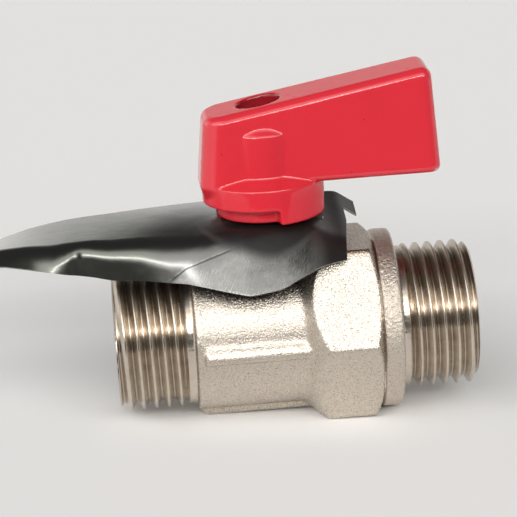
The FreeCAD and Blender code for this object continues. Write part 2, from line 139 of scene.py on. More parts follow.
class StageSettings(bpy.types.PropertyGroup):
    """Floor, light and camera."""

    floor: FloatVectorProperty(name="Floor", description="Colour of the floor",
                               subtype="COLOR", default=(0.95, 0.952, 0.955), min=0, max=1)
    front_edge: FloatProperty(name="Front edge",
                              description="Distance from the pipe's axis to the floor's front edge",
                              default=0.1, unit="LENGTH")
    softbox: FloatProperty(name="Softbox", description="Brightness of the large light in front",
                           default=2.0)
    core: FloatProperty(name="Core", description="Brightness of the lamp inside the softbox",
                        default=15.0)
    lens: FloatProperty(name="Lens", description="Focal length of the camera in millimetres",
                        default=197.63, unit="CAMERA")


class Wire:
    """One value in a node tree. Arithmetic on it adds Math nodes."""

    def __init__(self, graph, socket):
        self.graph = graph
        self.socket = socket

    def __add__(self, other):
        return self.graph.math("ADD", self, other)

    def __radd__(self, other):
        return self.graph.math("ADD", other, self)

    def __sub__(self, other):
        return self.graph.math("SUBTRACT", self, other)

    def __rsub__(self, other):
        return self.graph.math("SUBTRACT", other, self)

    def __mul__(self, other):
        return self.graph.math("MULTIPLY", self, other)

    def __rmul__(self, other):
        return self.graph.math("MULTIPLY", other, self)

    def __abs__(self):
        return self.graph.math("ABSOLUTE", self)


class Graph:
    """Builds one node tree from expressions. Lengths are in millimetres."""

    def __init__(self, tree):
        self.tree = tree
        tree.nodes.clear()

    def node(self, kind, settings=None, sockets=None, output=0):
        """Adds a node, sets it up, fills or links its sockets and returns one output if it has any."""
        made = self.tree.nodes.new(kind)
        for name, value in (settings or {}).items():
            setattr(made, name, value)
        for key, value in (sockets or {}).items():
            if isinstance(value, Wire):
                self.tree.links.new(value.socket, made.inputs[key])
            else:
                made.inputs[key].default_value = value
        return Wire(self, made.outputs[output]) if made.outputs else None

    def math(self, operation, *values):
        """One Math node over values or wires."""
        return self.node("ShaderNodeMath", {"operation": operation}, dict(enumerate(values)))

    def step(self, value, low, high):
        """Smooth rise from 0 at low to 1 at high."""
        sockets = {"Value": value, "From Min": low, "From Max": high}
        return self.node("ShaderNodeMapRange", {"interpolation_type": "SMOOTHSTEP"}, sockets)

    def band(self, value, centre, half_width):
        """1 at the centre, falling smoothly to 0 at half a width to either side."""
        return 1 - self.step(abs(value - centre), 0.0, half_width)

    def place(self):
        """Position on the piece at rest, in millimetres."""
        metres = self.node("ShaderNodeTexCoord", output="Object")
        return self.node("ShaderNodeVectorMath", {"operation": "SCALE"}, {0: metres, "Scale": 1 / MM})

    def split(self, vector):
        """The three parts of a vector."""
        return [self.node("ShaderNodeSeparateXYZ", None, {0: vector}, axis) for axis in range(3)]

    def vector(self, x, y, z):
        """A vector from its three parts."""
        return self.node("ShaderNodeCombineXYZ", None, {0: x, 1: y, 2: z})

    def span(self, first, second):
        """Length of a step with two legs at right angles."""
        return self.math("SQRT", first * first + second * second)

    def distance(self, where, point):
        """Distance from a fixed point."""
        sockets = {0: where, 1: point}
        return self.node("ShaderNodeVectorMath", {"operation": "DISTANCE"}, sockets, "Value")

    def noise(self, where, size, detail=2.0, roughness=0.5):
        """Cloudy noise whose patches are about one size across."""
        sockets = {"Vector": where, "Scale": 1 / size, "Detail": detail, "Roughness": roughness}
        return self.node("ShaderNodeTexNoise", None, sockets)

    def cells(self, where, size):
        """Distance to the nearest of a scatter of points, in cell sizes."""
        return self.node("ShaderNodeTexVoronoi", None, {"Vector": where, "Scale": 1 / size})

    def mix(self, share, first, second):
        """Blend of two colours."""
        sockets = {0: share, 6: self.colour(first), 7: self.colour(second)}
        return self.node("ShaderNodeMix", {"data_type": "RGBA"}, sockets, 2)

    @staticmethod
    def colour(value):
        """A colour as a socket takes it, opaque."""
        return value if isinstance(value, Wire) else (*value, 1.0)

    def bump(self, height):
        """Normal of a surface raised by a height in millimetres."""
        return self.node("ShaderNodeBump", None, {"Strength": 1.0, "Distance": MM, "Height": height})

    def surface(self, sockets):
        """Ends the tree with one shaded surface."""
        shader = self.node("ShaderNodeBsdfPrincipled", None, sockets)
        self.node("ShaderNodeOutputMaterial", None, {"Surface": shader})


def shade(colour, share):
    """A colour made darker."""
    return [share * c for c in colour]


def shared(maker, look):
    """A finish that several pieces carry, made once."""
    made = bpy.data.materials.get(maker.__name__)
    return made or maker(look)


def new_finish(name):
    """An empty material and the graph that fills it."""
    material = bpy.data.materials.new(name)
    material.use_nodes = True
    return material, Graph(material.node_tree)


def blasted_nickel(look):
    """Blasted and satin plated forging, with pits and brown joints, and painted shade on the top flats and
    under the lever's drum.
    """
    material, g = new_finish("blasted_nickel")
    mm = g.place()
    x, y, z = g.split(mm)
    grain = g.noise(mm, size=0.28, detail=2.0, roughness=0.6)
    pits = g.noise(mm, size=0.17, detail=1.0)
    hide = g.noise(mm, size=0.5, detail=1.0)
    ring_start = body_high.x / MM
    shoulder = (body_low.x + SPIGOT_RUN) / MM
    on_ring = g.step(x, ring_start, ring_start + 0.2)
    joint = g.band(x, ring_start, 0.3) + g.band(x, shoulder, 0.25)
    from_stem = g.span(x - stem_x / MM, y)
    # painted shade: around the neck, under the tag and the lever's drum, the forging turns near black, matt
    # and rough
    drum_shade = g.step(z, 12.0, 15.0) * (1 - g.step(from_stem, 8.5, 9.5))
    # painted shade: the top flats under the lever's arm are darkened towards the tarnish colour
    shaded_top = g.step(z, 11.3, 12.3) * (1 - on_ring) * (0.5 + grain * 0.5)
    speck = g.step(pits, 0.58, 0.66)
    plated = g.mix(speck * 0.6, look.nickel, shade(look.nickel, 0.3))
    # brown film at the joints, plus the painted shade of the top flats
    tarnished_and_shaded = g.mix(g.math("MAXIMUM", joint * 0.55, shaded_top * 0.75), plated, look.tarnish)
    sockets = {
        "Base Color": g.mix(drum_shade * 0.9, tarnished_and_shaded, shade(look.tarnish, 0.25)),
        "Metallic": 1 - drum_shade,
        "Roughness": 0.22 + grain * 0.1 + speck * 0.15 + on_ring * 0.2 + drum_shade * 0.4,
        "Normal": g.bump(grain * 0.07 + pits * 0.06 + hide * on_ring * 0.14),
    }
    g.surface(sockets)
    return material


def bright_nickel(look):
    """Bright turned metal with fine tool lines, a brown film in the roots and in patches, and painted shade
    darkening the upper half.
    """
    material, g = new_finish("bright_nickel")
    mm = g.place()
    x, y, z = g.split(mm)
    radius = g.span(y, z)
    tool_lines = 14
    lines = g.noise(g.vector(x * tool_lines, radius * tool_lines, 0.0), size=1.0, detail=2.0)
    patches = g.noise(mm, size=1.6, detail=3.0, roughness=0.6)
    root = 1 - g.step(radius, 9.3, 10.0)
    # painted shade: the upper half is darkened towards the tarnish colour, standing for the shade under the
    # tag; the film in the roots and patches is real tarnish
    upper = g.step(z, 3.0, 8.0)
    film = root * 0.35 + g.step(patches, 0.35, 0.8) * 0.25 + upper * 0.3
    sockets = {
        "Base Color": g.mix(film, look.turned, look.tarnish),
        "Metallic": 1.0,
        "Roughness": 0.11 + lines * 0.08 + patches * 0.07 + upper * 0.12,
        "Normal": g.bump(lines * 0.006 + patches * 0.01),
    }
    g.surface(sockets)
    return material


def red_enamel(look):
    """Thick glossy paint with a faint peel, dust specks, painted shade in the screw's well and one chipped
    corner.
    """
    material, g = new_finish("red_enamel")
    mm = g.place()
    x, y, z = g.split(mm)
    peel = g.noise(mm, size=2.2, detail=2.0)
    ripple = g.noise(mm, size=0.7, detail=1.0)
    dust = 1 - g.step(g.cells(mm, 2.6), 0.03, 0.07)
    depth = g.noise(mm, size=7.0, detail=2.0)
    corner = (handle_high.x / MM, -5.5, 22.4)
    chip = 1 - g.step(g.distance(mm, corner) + ripple * 0.7, 1.3, 1.5)
    # painted shade: the screw's well is darkened to a quarter of the enamel's colour
    well = 1 - g.step(g.span(x - stem_x / MM, y), 3.15, 3.4)
    paint = g.mix(depth * 0.35, look.enamel, shade(look.enamel, 0.8))
    # dust specks, plus the painted shade of the well
    speckled_and_shaded = g.mix(dust * 0.4 + well * 0.8, paint, shade(look.enamel, 0.25))
    patchy = g.step(g.noise(mm, size=1.1, detail=2.0), 0.32, 0.5)
    upright = g.split(g.node("ShaderNodeNewGeometry", output="Normal"))[2]
    low = 1 - g.step(z + ripple * 0.8, 20.5, 23.9)
    facing_up = g.step(upright, 0.75, 0.95)
    gloss = (0.8 + patchy * 0.2) * (1 - facing_up * 0.4) * (1 - low * 0.55)
    sockets = {
        "Base Color": g.mix(chip, speckled_and_shaded, look.bare),
        "Metallic": chip,
        "Roughness": 0.3 + chip * 0.2,
        "Specular IOR Level": 0.0,
        "Coat Weight": (1 - chip) * gloss,
        "Coat Roughness": 0.03,
        "Coat IOR": 1.65,
        "Normal": g.bump(peel * 0.03 + ripple * 0.006 + dust * 0.012),
    }
    g.surface(sockets)
    return material


def black_lacquer(look):
    """Black sheet, glossy over metal, with a crease and scratches; painted shade makes it matt and near black
    near the stem and outlet, and dark along the crease and at a kink; a painted reflection tints its left end
    green.
    """
    material, g = new_finish("black_lacquer")
    mm = g.place()
    x, y, z = g.split(mm)
    out = x - stem_x / MM
    across = x * 0.9 - z * 0.45
    streaks = g.vector(x * 0.3 + z * 0.6, across * 13, y * 1.5)
    scratches = g.noise(streaks, size=1.0, detail=3.0, roughness=0.7)
    mottled = g.noise(mm, size=1.2, detail=4.0, roughness=0.65)
    dents = g.noise(mm, size=4.5, detail=2.0)
    flap = 1 - g.step(y, -9.6, -7.4)
    # painted shade: in front of the drum and towards the outlet the sheet is matt and near black, standing
    # for the shade under the lever
    near_drum = (1 - g.step(g.span(out, y), 9.0, 10.6)) * (1 - g.step(y, -4.0, 0.0))
    matt = g.math("MAXIMUM", g.step(out, 4.5, 8.5), near_drum)
    left_side = 1 - g.step(out, -19.0, -13.0)
    turn_x, turn_z, climb = -12.1, 12.05, 0.36
    past_turn = out - turn_x
    from_crease = z - turn_z - past_turn * climb - g.math("MINIMUM", past_turn, 0.0) * climb
    crease_run = g.step(out, -15.0, -14.2) * (1 - g.step(out, -6.0, -4.4))
    on_crease = crease_run * (1 - g.step(y, -7.2, -6.4))
    broken = g.step(g.noise(mm, size=0.4, detail=2.0), 0.42, 0.55)
    light_line = g.band(from_crease, 0.12, 0.2) * on_crease * broken
    # painted shade: a dark line just under the crease
    crease_shade = g.band(from_crease, -0.1, 0.2) * on_crease
    above_edge = z - abs(out + 3.6) * 0.12 + mottled * 0.4
    worn_edge = (1 - g.step(above_edge, 8.9, 9.3)) * g.band(out, -5.0, 5.5)
    # painted shade: a dark spot standing for the shaded face of a small kink
    dent_shade = 1 - g.step(g.distance(mm, TAG_DENT_SHADE), 0.25, 0.75)
    rubbed = flap * g.step(scratches, 0.45, 0.8) * (1 - left_side)
    red, green, blue = look.lacquer
    # painted reflection: the left end's lacquer is tinted green for a greenish reflection
    reflection_tinted = g.mix(left_side, look.lacquer, (0.94 * red, green, 0.9 * blue))
    bared = rubbed * 0.25 + flap * mottled * 0.2 + light_line * 0.1 + worn_edge * broken * 0.4
    shown = g.mix(bared, reflection_tinted, look.bare)
    # painted shade from the crease line and the kink's spot; with the matt patch it turns the colour near
    # black and takes the coat off
    painted_shade_marks = g.math("MAXIMUM", crease_shade * 0.7, dent_shade)
    sockets = {
        "Base Color": g.mix(g.math("MAXIMUM", matt, painted_shade_marks), shown, shade(look.lacquer, 0.07)),
        "Metallic": 1 - matt,
        "Roughness": 0.2 + mottled * 0.08 + rubbed * 0.1 + matt * 0.2,
        "Coat Weight": (1 - matt) * (1 - rubbed * 0.5) * (1 - painted_shade_marks),
        "Coat Roughness": 0.13,
        "Normal": g.bump(dents * 0.1 + mottled * 0.012 + rubbed * 0.006),
    }
    g.surface(sockets)
    return material


def dull_black(look):
    """Unpolished underside of the tag, and the wall of its hole."""
    material, g = new_finish("dull_black")
    smears = g.noise(g.place(), size=1.5, detail=3.0)
    sockets = {
        "Base Color": g.mix(smears, shade(look.lacquer, 0.1), shade(look.lacquer, 0.25)),
        "Roughness": 0.5 + smears * 0.2,
        "Normal": g.bump(smears * 0.02),
    }
    g.surface(sockets)
    return material


def bare_sheet(look):
    """Cut edge of the tag, bare metal with shear marks."""
    material, g = new_finish("bare_sheet")
    mm = g.place()
    marks = g.noise(mm, size=0.3, detail=2.0)
    sockets = {
        "Base Color": g.mix(marks, look.bare, look.lacquer),
        "Metallic": 1.0,
        "Roughness": 0.3 + marks * 0.2,
        "Normal": g.bump(marks * 0.01),
    }
    g.surface(sockets)
    return material


def plain_metal(name, colour, roughness, line_axis):
    """Turned or polished inner metal, with fine lines along one axis and faint stains."""
    material, g = new_finish(name)
    mm = g.place()
    lines = g.noise(g.vector(0.0, 0.0, g.split(mm)[line_axis] * 10), size=1.0, detail=2.0)
    stains = g.noise(mm, size=2.0, detail=3.0)
    sockets = {
        "Base Color": g.mix(stains * 0.4, colour, shade(colour, 0.7)),
        "Metallic": 1.0,
        "Roughness": roughness + lines * 0.08 + stains * 0.05,
        "Normal": g.bump(lines * 0.004 + stains * 0.004),
    }
    g.surface(sockets)
    return material


def moulded(name, colour, roughness):
    """Moulded rubber or plastic with a fine skin and slight mottling."""
    material, g = new_finish(name)
    mm = g.place()
    skin = g.noise(mm, size=0.3, detail=2.0)
    mottle = g.noise(mm, size=1.5, detail=3.0)
    sockets = {
        "Base Color": g.mix(mottle * 0.5, colour, shade(colour, 0.82)),
        "Roughness": roughness + skin * 0.1,
        "Normal": g.bump(skin * 0.008),
    }
    g.surface(sockets)
    return material


def link_object(name, mesh):
    """A new object in the scene."""
    piece = bpy.data.objects.new(name, mesh)
    bpy.context.scene.collection.objects.link(piece)
    return piece


def mesh_from(name, points, faces):
    """A mesh from its corners and faces."""
    mesh = bpy.data.meshes.new(name)
    mesh.from_pydata([tuple(p) for p in points], [], faces)
    return mesh


def face_outwards(mesh):
    """Turns every face of a closed mesh outwards."""
    work = bmesh.new()
    work.from_mesh(mesh)
    bmesh.ops.recalc_face_normals(work, faces=work.faces)
    work.to_mesh(mesh)
    work.free()


def baked_mesh(piece, name):
    """Mesh of a piece with its modifiers, as a new mesh."""
    graph = bpy.context.evaluated_depsgraph_get()
    mesh = bpy.data.meshes.new_from_object(piece.evaluated_get(graph))
    mesh.name = name
    return mesh


def discard(piece):
    """Removes a helper piece and its mesh."""
    mesh = piece.data
    bpy.data.objects.remove(piece)
    bpy.data.meshes.remove(mesh)


def welded_copy(node):
    """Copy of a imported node's mesh with its seams closed."""
    work = bmesh.new()
    work.from_mesh(frame["nodes"][node].data)
    seam = 0.001 * MM
    bmesh.ops.remove_doubles(work, verts=work.verts, dist=seam)
    mesh = bpy.data.meshes.new(node + "_copy")
    work.to_mesh(mesh)
    work.free()
    return mesh


def add_rounding(piece, cell, passes):
    """Re-skins a piece in even cells and rounds its edges."""
    skin = piece.modifiers.new("skin", "REMESH")
    skin.mode = "VOXEL"
    skin.voxel_size = cell
    skin.use_smooth_shade = True
    soften = piece.modifiers.new("soften", "SMOOTH")
    soften.factor = 0.5
    soften.iterations = passes


def combine(piece, tool, operation):
    """Cuts a piece with a tool, or keeps only what they share."""
    cut = piece.modifiers.new(operation.lower(), "BOOLEAN")
    cut.operation = operation
    cut.solver = "EXACT"
    cut.material_mode = "TRANSFER"
    cut.object = tool
    mesh = baked_mesh(piece, piece.data.name)
    old = piece.data
    piece.modifiers.clear()
    piece.data = mesh
    bpy.data.meshes.remove(old)
    discard(tool)


def smooth_with_edges(mesh, angle):
    """Smooth shading, with edges kept sharp past an angle in degrees."""
    mesh.polygons.foreach_set("use_smooth", np.ones(len(mesh.polygons), bool))
    mesh.set_sharp_from_angle(angle=math.radians(angle))


# Half angle between the thread's flanks and the angle about the pipe that faces the camera, in degrees,
# with the run over which the thread fades out and the chamfer at its start.
THREAD_HALF_ANGLE = 27.5
THREAD_FRONT = 287.0
THREAD_FADE = 0.9 * MM
THREAD_CHAMFER = 0.9 * MM


def thread_rows(thread):
    """Axial offset in pitches and depth of each row of one thread, from crest to crest."""
    flank = math.radians(90 - THREAD_HALF_ANGLE)
    arc = [flank * share for share in (0.0, 0.33, 0.66, 1.0)]
    r = thread.rounding
    crest = [(r * math.sin(a), r * (1 - math.cos(a))) for a in arc]
    half = thread.pitch / 2
    root = [(half - a, thread.depth - d) for a, d in reversed(crest)]
    middle = [((crest[-1][0] + root[0][0]) / 2, (crest[-1][1] + root[0][1]) / 2)]
    down = crest + middle + root
    up = [(thread.pitch - a, d) for a, d in reversed(down[1:-1])]
    return [(a / thread.pitch, d) for a, d in down + up]


def thread_cutter(thread, name, face_x, direction, phase, material):
    """Ring whose inner wall is the thread, to be cut from a plain spigot.

    The phase is the place of one crest, seen at the front. Past its run the thread fades out, and
    the rows left over are squeezed together.
    """
    overhang, squeeze, thickness = 0.6 * MM, 0.1, 1.2 * MM
    rows = thread_rows(thread)
    count = thread.columns
    angles = np.arange(count) * (2 * math.pi / count)
    front = math.radians(THREAD_FRONT)
    first_crest = phase - thread.pitch * front / (2 * math.pi)
    reach = thread.spigot_run - THREAD_FADE
    ends = sorted((face_x - direction * overhang, face_x + direction * reach))
    start = math.floor((ends[0] - first_crest) / thread.pitch) - 1
    stop = math.ceil((ends[1] - first_crest) / thread.pitch) + 1
    places = [(first_crest + (n + a) * thread.pitch, d) for n in range(start, stop) for a, d in rows]
    line = np.array([p[0] for p in places])[:, None] + thread.pitch * angles / (2 * math.pi)
    depth = np.array([p[1] for p in places])[:, None] + 0 * angles
    inward = direction * (line - face_x)
    packed = np.where(inward > reach, reach + (inward - reach) * squeeze, inward)
    fade = np.clip((reach - packed) / THREAD_FADE, 0, 1)
    radius = thread.crest_radius - depth * fade * fade * (3 - 2 * fade)
    x = face_x + direction * packed
    outer = np.full_like(radius, thread.crest_radius + thickness)

    def wall(r):
        return np.stack([x, r * np.cos(angles), r * np.sin(angles)], axis=-1).reshape(-1, 3)

    total = len(places) * count
    points = np.concatenate([wall(radius), wall(outer)])
    turn = len(rows)
    last = len(places) - 1

    def at(row, column):
        return (row + turn) * count if column == count else row * count + column

    faces = []
    for row in range(last):
        for column in range(count):
            if column == count - 1 and row + 1 + turn > last:
                continue
            quad = [at(row, column), at(row, column + 1), at(row + 1, column + 1), at(row + 1, column)]
            faces.append(quad)
            faces.append([i + total for i in reversed(quad)])
    low_rim = [at(0, c) for c in range(count + 1)] + [at(r, 0) for r in range(turn - 1, -1, -1)]
    high_rim = [at(last, c) for c in range(count)]
    high_rim += [at(r, count - 1) for r in range(last - 1, last - turn - 1, -1)]
    high_rim.append(at(last, 0))
    for rim in (low_rim, high_rim):
        for a, b in zip(rim, rim[1:]):
            faces.append([a, b, b + total, a + total])
    mesh = mesh_from(name, points, faces)
    face_outwards(mesh)
    mesh.materials.append(material)
    return link_object(name, mesh)


def mark_turned(mesh, is_turned):
    """Gives the second material to the faces whose centre and normal pass a test."""
    for polygon in mesh.polygons:
        polygon.material_index = int(is_turned(polygon.center, polygon.normal))


def faces_axis(centre, normal):
    """True for a wall of the waterway, which looks towards the pipe's axis."""
    lean = -0.3
    return normal.y * centre.y + normal.z * centre.z < lean * math.hypot(centre.y, centre.z)


def lathe(name, profile, count):
    """Closed ring turned about the pipe's axis, from the corners of its cross-section."""
    angles = np.arange(count) * (2 * math.pi / count)
    points = [(x, r * math.cos(a), r * math.sin(a)) for x, r in profile for a in angles]
    faces = []
    for row in range(len(profile)):
        after = (row + 1) % len(profile)
        for column in range(count):
            beside = (column + 1) % count
            near = [row * count + column, row * count + beside]
            faces.append(near + [after * count + beside, after * count + column])
    mesh = mesh_from(name, points, faces)
    face_outwards(mesh)
    return mesh


def plain_spigot(thread, face_x, direction):
    """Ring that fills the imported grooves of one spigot, so that the true thread can be cut."""
    turned_spare, ring_depth, crest_run = 0.0275 * MM, 2.4 * MM, 9.5 * MM
    crest = thread.crest_radius + turned_spare
    inner = thread.crest_radius - ring_depth
    land = thread.land_radius
    chamfer = [(0.0, crest - THREAD_CHAMFER), (THREAD_CHAMFER, crest)]
    relief = [(crest_run, crest), (crest_run + crest - land, land), (thread.spigot_run, land)]
    steps = [(0.0, inner), *chamfer, *relief, (thread.spigot_run, inner)]
    return lathe("spigot", [(face_x + direction * x, r) for x, r in steps], thread.columns)


def joint_ring(thread):
    """Ring inside the joint of body and end piece, so that rounding leaves no deep gap there."""
    start, end = body_high.x - 0.3 * MM, body_high.x + 0.7 * MM
    inner, outer = 10.6 * MM, 12.5 * MM
    return lathe("joint", [(start, inner), (start, outer), (end, outer), (end, inner)], thread.columns)


# Corners of the fillet over a side rib, as places across and up, and its span along the pipe, in millimetres.
RIB_FILLET = ((10.85, 1.6), (11.1, 0.8), (11.6, 0.25), (10.4, -0.5))
RIB_SPAN = (12.5, 29.5)


def rib_fillet(side):
    """Bar that fills the corner over the forging's side rib, on one side of the pipe."""
    corners = [(x * MM, side * y * MM, z * MM) for x in RIB_SPAN for y, z in RIB_FILLET]
    count = len(RIB_FILLET)
    faces = [[i, (i + 1) % count, (i + 1) % count + count, i + count] for i in range(count)]
    mesh = mesh_from("rib_fillet", corners, faces + [list(range(count)), list(range(count, 2 * count))])
    face_outwards(mesh)
    return mesh


def joined_copy(node, extra):
    """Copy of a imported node's mesh with other closed meshes added to it."""
    mesh = welded_copy(node)
    work = bmesh.new()
    work.from_mesh(mesh)
    for other in extra:
        work.from_mesh(other)
        bpy.data.meshes.remove(other)
    work.to_mesh(mesh)
    work.free()
    return mesh


def threaded_piece(context, node, name, face_x, direction, phase, fills, is_turned):
    """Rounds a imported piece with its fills, gives it both finishes and cuts the thread on its spigot."""
    thread = context.scene.valve_thread
    forging = context.scene.valve_forging
    look = context.scene.valve_finish
    blank = link_object("blank", joined_copy(node, [plain_spigot(thread, face_x, direction), *fills]))
    add_rounding(blank, forging.body_cell, forging.body_passes)
    thin = blank.modifiers.new("thin", "DECIMATE")
    thin.ratio = 0.5
    piece = link_object(name, baked_mesh(blank, name))
    discard(blank)
    bright = shared(bright_nickel, look)
    piece.data.materials.clear()
    piece.data.materials.append(shared(blasted_nickel, look))
    piece.data.materials.append(bright)
    mark_turned(piece.data, is_turned)
    cutter = thread_cutter(thread, name + "_cutter", face_x, direction, phase, bright)
    combine(piece, cutter, "DIFFERENCE")
    smooth_with_edges(piece.data, angle=50)
    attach(piece, "body")
    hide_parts(node)
    return piece


class VALVE_OT_body(bpy.types.Operator):
    """Round the forging, and cut the inlet's thread"""

    bl_idname = "valve.body"
    bl_label = "Body"

    def execute(self, context):
        thread = context.scene.valve_thread
        turned_end = body_low.x + thread.spigot_run - 0.15 * MM

        def is_turned(centre, normal):
            return centre.x < turned_end or faces_axis(centre, normal)

        fills = [rib_fillet(-1), rib_fillet(1)]
        piece = threaded_piece(context, "valve_body", "threaded_body", body_low.x, 1,
                               thread.inlet_phase, fills, is_turned)
        return {"FINISHED"}


class VALVE_OT_adapter(bpy.types.Operator):
    """Round the screwed end piece, and cut the outlet's thread"""

    bl_idname = "valve.adapter"
    bl_label = "End adapter"

    def execute(self, context):
        thread = context.scene.valve_thread
        turned_start = adapter_high.x - thread.spigot_run + 0.1 * MM

        def is_turned(centre, normal):
            return not body_high.x < centre.x < turned_start or faces_axis(centre, normal)

        piece = threaded_piece(context, "end_adapter", "threaded_adapter", adapter_high.x, -1,
                               thread.outlet_phase, [joint_ring(thread)], is_turned)
        return {"FINISHED"}


# Cross-sections of the folded tag, in millimetres and degrees: distance from the stem, where the
# fold starts, its height, slope at the rear edge, then the slope at places along the sheet, each
# with its arc from the fold's start: fold, end of the bend, ridge, start of the flap, front edge.
TAG_ROWS = [
    (13.8, -5.0, 12.3, 12, (0, 14), (2.0, 30), (2.8, 35), (3.6, 39), (4.4, 41)),
    (11.0, -5.0, 14.3, 12, (0, 14), (2.0, 30), (3.0, 36), (4.0, 40), (4.8, 42)),
    (9.3, -5.0, 14.8, 10, (0, 12), (2.0, 29), (3.5, 38), (4.6, 41), (5.7, 43)),
    (7.5, -5.0, 15.8, 5.5, (0, 8), (2.5, 33), (4.0, 38), (6.0, 41), (7.3, 44)),
    (5.8, -4.9, 16.75, 0.7, (0, 3), (2.6, 37), (4.6, 42), (7.0, 45), (8.9, 48)),
    (0.9, -5.2, 16.8, 0.7, (0, 2), (2.6, 46), (5.2, 51), (7.6, 54), (10.8, 57)),
    (-3.6, -5.2, 16.8, 0.7, (0, 2), (3.4, 48), (5.6, 58), (8.2, 56), (11.5, 58)),
    (-8.6, -4.7, 15.95, -2, (0, 13), (2.6, 48), (3.5, 55), (4.7, 58), (8.8, 61)),
    (-12.0, -4.2, 15.8, -2, (0, 14), (2.4, 48), (4.4, 66), (5.3, 70), (7.6, 72)),
    (-14.5, -3.9, 15.8, -2, (0, 13), (2.3, 48), (4.3, 67), (5.8, 75), (7.3, 75)),
    (-18.2, -3.4, 15.95, -1, (0, 9), (2.5, 48), (3.8, 67), (4.9, 77), (7.1, 80)),
    (-22.4, -2.9, 15.8, 0.8, (0, 6), (2.3, 48), (3.3, 67), (4.1, 79), (6.7, 82)),
    (-25.0, -2.7, 15.9, 0.6, (0, 4), (2.0, 48), (2.9, 67), (3.6, 79), (6.1, 82)),
    (-27.2, -2.6, 15.75, 0.4, (0, 4), (1.5, 47), (2.3, 66), (3.0, 79), (5.4, 81)),
    (-28.5, -2.5, 15.75, 0.2, (0, 3), (2.4, 47), (3.2, 62), (4.0, 77), (5.6, 79)),
    (-30.7, -2.4, 15.55, 0, (0, 2), (2.8, 45), (3.8, 55), (4.5, 66), (5.2, 70)),
    (-34.0, -1.8, 15.5, -3, (0, -1), (1.3, 29), (2.7, 42), (3.5, 46), (4.6, 48)),
    (-38.0, -1.0, 15.1, -7, (0, -6), (1.0, 17), (2.4, 34), (3.0, 39), (3.8, 42)),
    (-43.0, 0.0, 13.8, -9, (0, -9), (1.5, 10), (2.8, 24), (3.4, 30), (4.2, 36)),
]
# Outline from the stem, in millimetres and degrees: rear edge, round end (centre and radius), front edge with
# its slant, curled corner, keyed hole, and the crease as places along the pipe, each with arc and turn.
TAG_REAR = 8.3
TAG_END = (-34.0, 0.8, 8.0)
TAG_EDGE = 11.7
TAG_EDGE_SLANT = 7.0
TAG_CURL = (13.6, 4.0)
TAG_HOLE_RADIUS = 4.85
TAG_KEY_RADIUS = 8.36
TAG_KEY_HALF_ANGLE = 15.0
TAG_CREASE = ((-14.3, 7.5, 0), (-13.8, 7.0, 1), (-12.0, 5.4, 2), (-9.6, 4.9, 2), (-7.0, 4.0, 0))
# Place of a painted dark spot that stands for the shaded face of a small kink, from the frame's origin, in
# millimetres, points along and across the sheet, reach of the smoothing along the pipe and height of the
# waves, also in millimetres.
TAG_DENT_SHADE = (-4.25, -4.3, 14.1)
TAG_GRID = (285, 121)
TAG_BLUR = 1.2
TAG_WAVE = 0.05


def ease(value, width):
    """Smooth rise from 0 to 1 over a width around zero."""
    t = np.clip(value / width + 0.5, 0, 1)
    return t * t * (3 - 2 * t)


def tag_values(stations):
    """Each column of the tag's table, carried smoothly along the pipe."""
    rows = np.array([[*row[:4], *np.ravel(row[4:])] for row in sorted(TAG_ROWS)])
    spread = np.linspace(-TAG_BLUR, TAG_BLUR, 13)
    weights = np.cos(spread / TAG_BLUR * math.pi / 2) ** 2
    weights /= weights.sum()
    columns = []
    for column in range(1, rows.shape[1]):
        samples = [np.interp(stations + s, rows[:, 0], rows[:, column]) for s in spread]
        columns.append(sum(w * v for w, v in zip(weights, samples)))
    return columns


def tag_surface(tag):
    """Grid of points over the folded sheet's upper face, and its normals, in millimetres."""
    stations = np.linspace(TAG_ROWS[-1][0], TAG_ROWS[0][0], TAG_GRID[0])
    shares = np.linspace(0, 1, TAG_GRID[1])
    values = tag_values(stations)
    fold_y, top = (c[:, None] for c in values[:2])
    rear = TAG_REAR - fold_y
    places = np.stack([-rear[:, 0], *values[3::2]], axis=1)
    slopes = np.stack([values[2], *values[4::2]], axis=1)
    length = places[:, -1:]
    arc = -rear + (rear + length) * shares[None, :]
    angle = np.array([np.interp(a, p, s) for a, p, s in zip(arc, places, slopes)])
    crease_x, crease_arc, crease_turn = zip(*TAG_CREASE)
    crease_at = np.interp(stations, crease_x, crease_arc)[:, None]
    back = np.interp(stations, crease_x, crease_turn)[:, None]
    angle = angle - back * ease(arc - crease_at, tag.crease_round / MM)
    angle = np.radians(angle)
    step = np.diff(arc, axis=1)
    middle = (angle[:, 1:] + angle[:, :-1]) / 2
    y = np.concatenate([np.zeros_like(fold_y), np.cumsum(-np.cos(middle) * step, axis=1)], axis=1)
    z = np.concatenate([np.zeros_like(fold_y), np.cumsum(-np.sin(middle) * step, axis=1)], axis=1)
    at_fold = np.array([[np.interp(0.0, a, b) for a, b in zip(arc, grid)] for grid in (y, z)])
    y = y - at_fold[0][:, None] + fold_y
    z = z - at_fold[1][:, None] + top
    x = np.repeat(stations[:, None], len(shares), axis=1)
    normal = np.stack([np.zeros_like(x), -np.sin(angle), np.cos(angle)], axis=-1)
    wavy = ease(arc - 1.0, 3.0) * ease(-stations[:, None] - 3, 5.0)
    waves = TAG_WAVE * np.sin(x * 0.55 + arc * 0.3) * wavy
    points = np.stack([x, y, z], axis=-1) + normal * waves[..., None]
    along = np.gradient(points, axis=0)
    across = np.gradient(points, axis=1)
    normal = np.cross(across, along)
    normal /= np.linalg.norm(normal, axis=-1, keepdims=True)
    return points, normal * np.sign(normal[..., 2:].mean())


